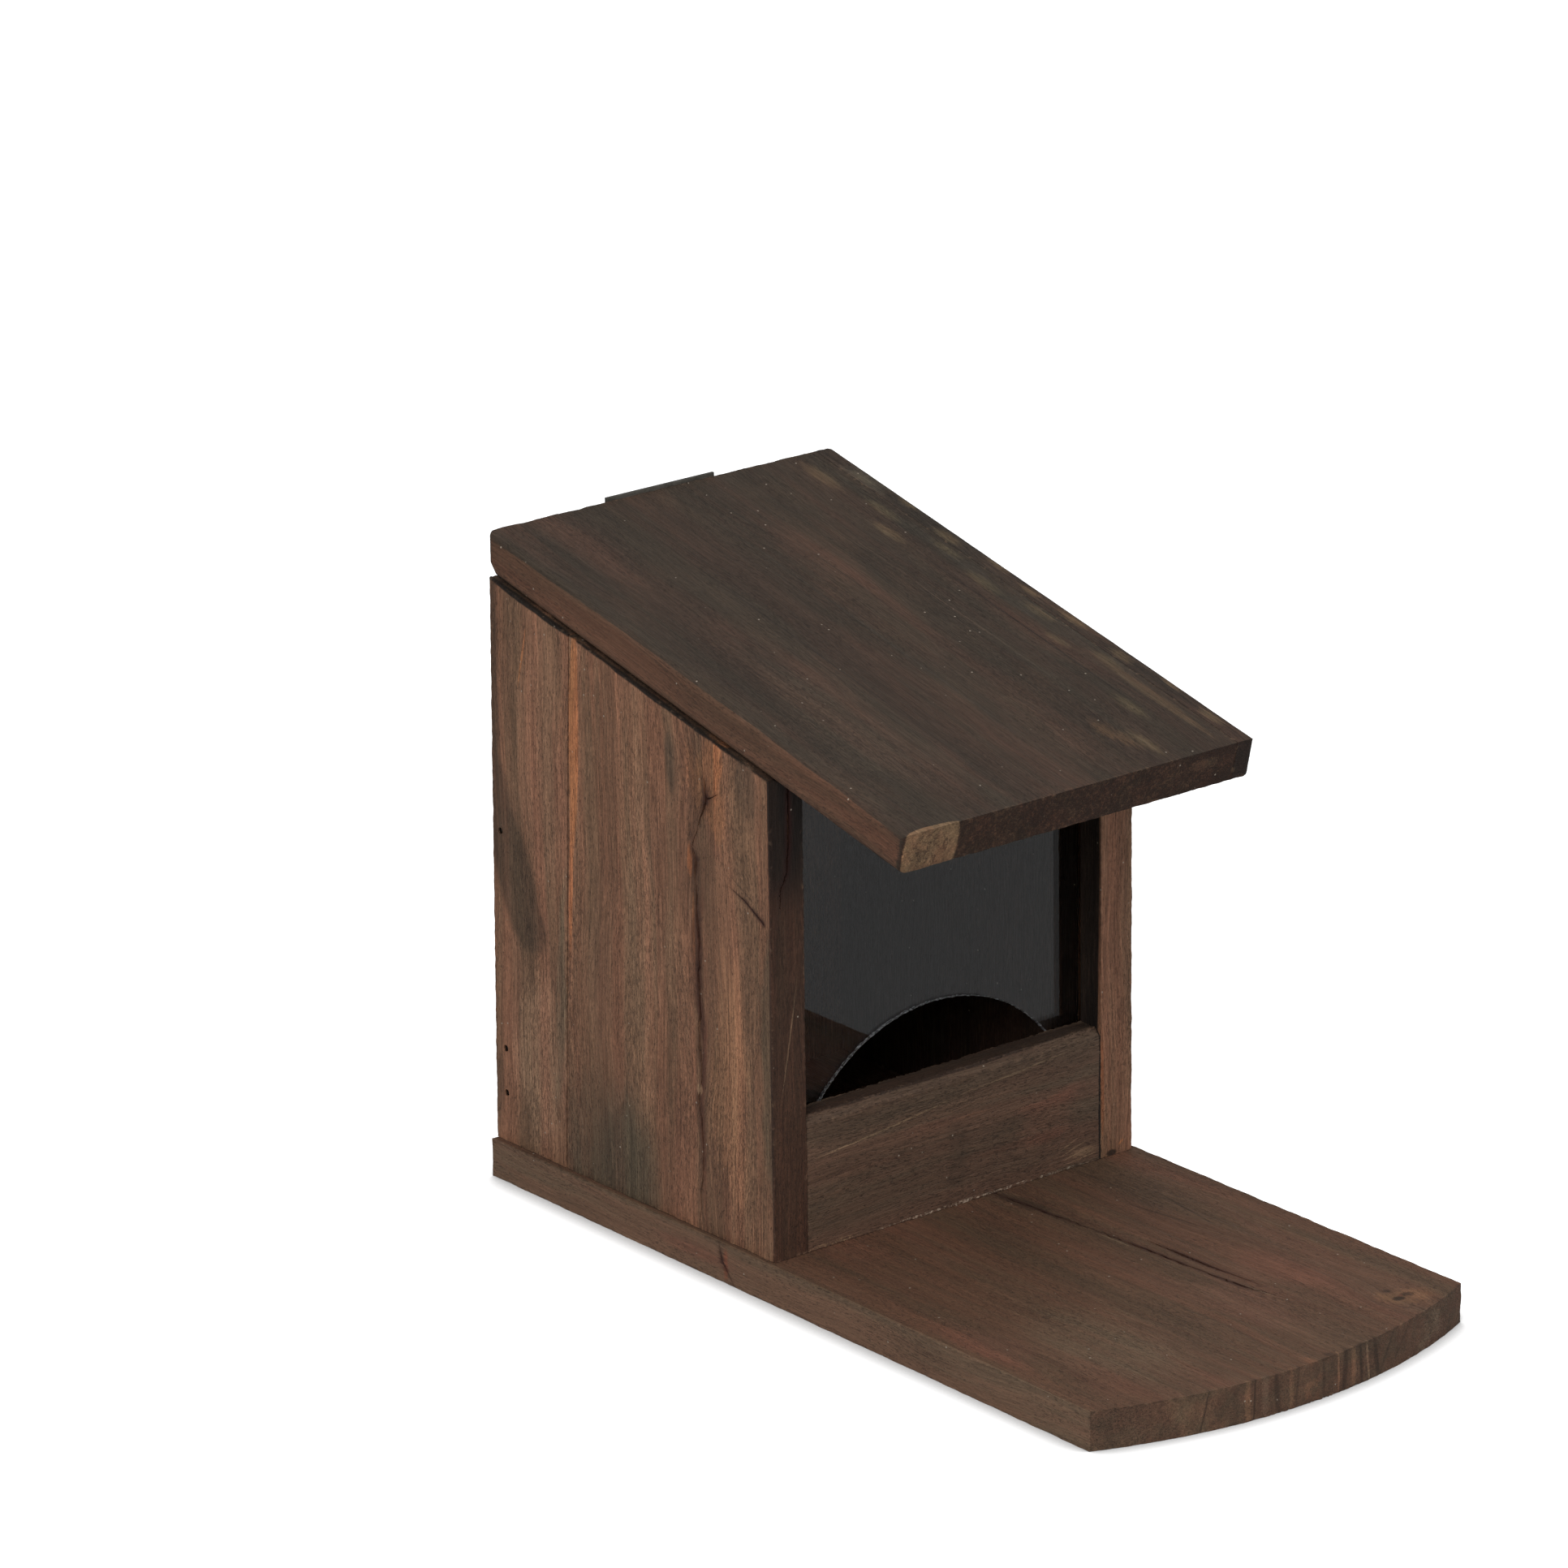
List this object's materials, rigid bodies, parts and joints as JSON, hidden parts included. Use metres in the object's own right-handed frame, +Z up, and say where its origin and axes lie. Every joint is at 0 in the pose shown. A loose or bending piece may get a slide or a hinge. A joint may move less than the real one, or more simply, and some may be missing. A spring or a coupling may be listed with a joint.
{
  "type": "squirrel feeder",
  "caption": "Small free-standing wooden feeding box with a bowed base tray, a sloping lid hinged at the back and a clear arched front pane that lifts out of grooves.",
  "frame": {"origin": "centre of the base board's underside", "axes": "+Z up, -Y towards the bowed front of the base, +X to the right of someone who faces the back from the front"},
  "size_m": [0.1238, 0.2526, 0.1782],
  "materials": {
    "base_wood": "dark stained, rough sawn, open grain",
    "side_wood": "warm brown stained, weathered, matt",
    "back_wood": "brown stained, matt",
    "sill_wood": "brown stained, matt, worn top edge",
    "lid_wood": "very dark stained, weathered, matt",
    "clear_pane": "clear and glossy with frosted saw-cut edges",
    "hinge_steel": "bright zinc plated",
    "screw_steel": "dull zinc plated"
  },
  "bodies": {
    "house": {"base_board": "base_wood", "left_side_rear_board": "side_wood", "left_side_front_board": "side_wood", "right_side_board": "side_wood", "back_board": "back_wood", "front_sill": "sill_wood", "hinge_back_leaf": "hinge_steel", "hinge_pin": "hinge_steel", "base_screw_left_rear": "screw_steel", "base_screw_left_front": "screw_steel", "base_screw_right_rear": "screw_steel", "base_screw_right_front": "screw_steel", "base_screw_back": "screw_steel", "base_screw_sill": "screw_steel", "back_brad_left_low": "screw_steel", "back_brad_left_middle": "screw_steel", "back_brad_left_high": "screw_steel", "back_brad_right_low": "screw_steel", "back_brad_right_middle": "screw_steel", "back_brad_right_high": "screw_steel", "hinge_screw_back_left": "screw_steel", "hinge_screw_back_right": "screw_steel"},
    "lid": {"lid_main_board": "lid_wood", "lid_edge_strip": "lid_wood", "hinge_lid_leaf": "hinge_steel", "hinge_screw_lid_left": "screw_steel", "hinge_screw_lid_right": "screw_steel"},
    "pane": {"window_pane": "clear_pane"}
  },
  "joints": [
    {"name": "lid_hinge", "type": "hinge", "parent": "house", "child": "lid", "pos_m": [-0.0025, 0.1253, 0.16605], "axis": [-1, 0, 0], "range_deg": [0, 180]},
    {"name": "pane_slide", "type": "slide", "parent": "house", "child": "pane", "axis": [0, 0, 1], "range_m": [0, 0.09]}
  ],
  "couplings": [
    {"joint": "pane_slide", "follows": "lid_hinge", "m_per_rad": 0.0286}
  ]
}
